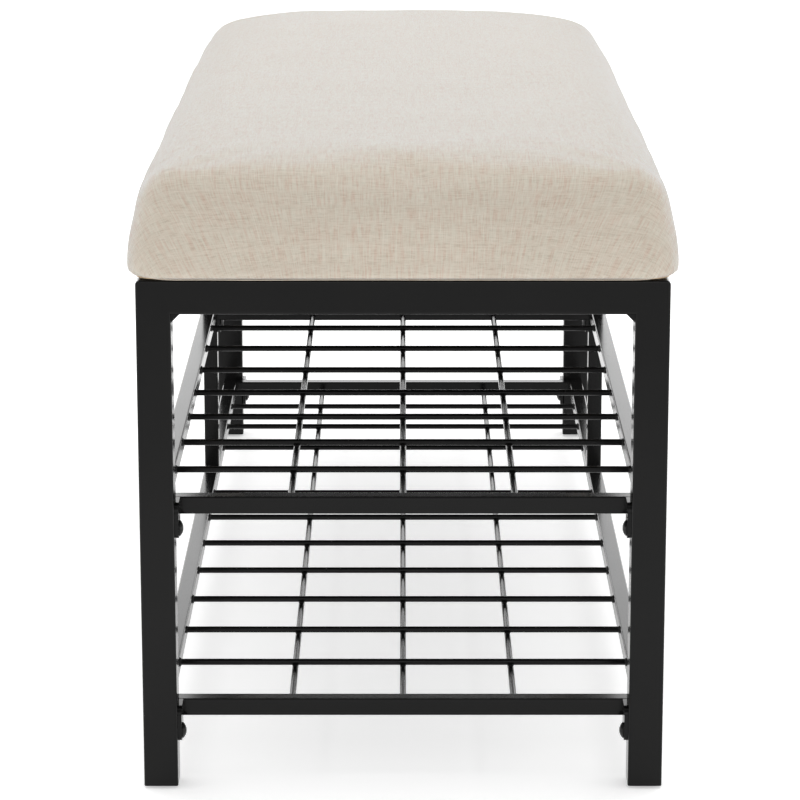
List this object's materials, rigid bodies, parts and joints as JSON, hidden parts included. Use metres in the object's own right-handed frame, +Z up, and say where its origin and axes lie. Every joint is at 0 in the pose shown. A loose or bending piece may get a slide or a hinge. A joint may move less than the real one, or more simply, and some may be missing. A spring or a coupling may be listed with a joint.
{
  "type": "entryway bench",
  "caption": "Long padded bench with a black square-tube frame, a full-length wire shelf near the floor and a shorter wire shelf above it that leaves a tall bay for boots.",
  "frame": {"origin": "on the floor, under the middle of the bench", "axes": "+X along the bench towards the near end, whose upper shelf reaches its legs; +Y to the right as seen when facing that end from outside; +Z up"},
  "size_m": [1.1, 0.4, 0.467],
  "materials": {
    "frame_paint": "satin",
    "wire_paint": "satin",
    "black_bolts": "gloss",
    "zinc_steel": "satin",
    "glide_plastic": "matte",
    "plywood": "matte",
    "foam": "matte",
    "linen": "matte",
    "dust_cloth": "matte"
  },
  "bodies": {
    "root": {"corner_weld_far_left": "frame_paint", "corner_weld_far_right": "frame_paint", "corner_weld_near_left": "frame_paint", "corner_weld_near_right": "frame_paint", "dust_cover": "dust_cloth", "end_rail_far": "frame_paint", "end_rail_near": "frame_paint", "glide_far_left": "glide_plastic", "glide_far_right": "glide_plastic", "glide_near_left": "glide_plastic", "glide_near_right": "glide_plastic", "leg_far_left": "frame_paint", "leg_far_right": "frame_paint", "leg_near_left": "frame_paint", "leg_near_right": "frame_paint", "lower_cross_wires": "wire_paint", "lower_end_far": "frame_paint", "lower_end_near": "frame_paint", "lower_long_wires": "wire_paint", "lower_rail_left": "frame_paint", "lower_rail_right": "frame_paint", "lower_shelf_bolts": "black_bolts", "lower_shelf_nuts": "zinc_steel", "post_foot_bolts": "black_bolts", "post_foot_plugs": "glide_plastic", "post_head_plugs": "glide_plastic", "post_left": "frame_paint", "post_right": "frame_paint", "seat_board": "plywood", "seat_bolts": "black_bolts", "seat_brace_far": "frame_paint", "seat_brace_near": "frame_paint", "seat_cover": "linen", "seat_foam": "foam", "seat_rail_left": "frame_paint", "seat_rail_right": "frame_paint", "seat_tee_nuts": "zinc_steel", "tab_lower_far_left": "frame_paint", "tab_lower_far_right": "frame_paint", "tab_lower_near_left": "frame_paint", "tab_lower_near_right": "frame_paint", "tab_upper_far_left": "frame_paint", "tab_upper_far_right": "frame_paint", "tab_upper_near_left": "frame_paint", "tab_upper_near_right": "frame_paint", "upper_cross_wires": "wire_paint", "upper_end_far": "frame_paint", "upper_end_near": "frame_paint", "upper_long_wires": "wire_paint", "upper_rail_left": "frame_paint", "upper_rail_right": "frame_paint", "upper_shelf_bolts": "black_bolts", "upper_shelf_nuts": "zinc_steel"}
  },
  "joints": []
}
